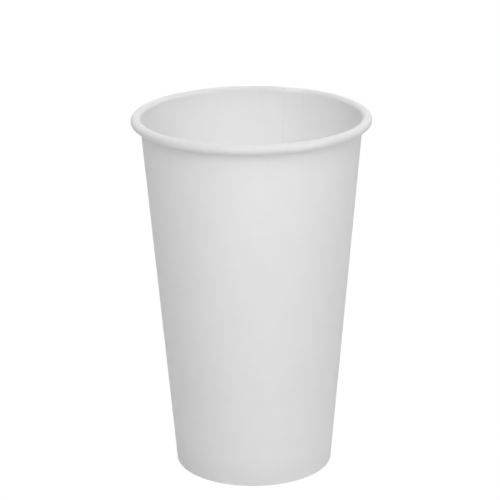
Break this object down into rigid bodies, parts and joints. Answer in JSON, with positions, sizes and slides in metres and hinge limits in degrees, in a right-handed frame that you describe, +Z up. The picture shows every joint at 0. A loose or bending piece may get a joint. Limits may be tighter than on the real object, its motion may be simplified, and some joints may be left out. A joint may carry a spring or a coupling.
{
  "type": "paper coffee cup",
  "caption": "Tall single-wall paper cup for hot drinks, plain white, with a rolled rim, a lapped side seam and a recessed base disc held in a folded hem",
  "frame": {"origin": "On the cup's axis in the plane that it stands on, under the middle of the foot", "axes": "+Z runs up the cup's axis out of its mouth. +X is to the right and +Y away from the viewer of the picture; the side seam is at the back, from 61 to 72 degrees round from +X"},
  "size_m": [0.09, 0.09, 0.138],
  "materials": {
    "wall_board": "white cup board with a satin coating inside",
    "base_board": "white cup board with a satin coating on its upper face"
  },
  "bodies": {
    "root": {"sidewall": "wall_board", "base_disc": "base_board"}
  },
  "joints": []
}
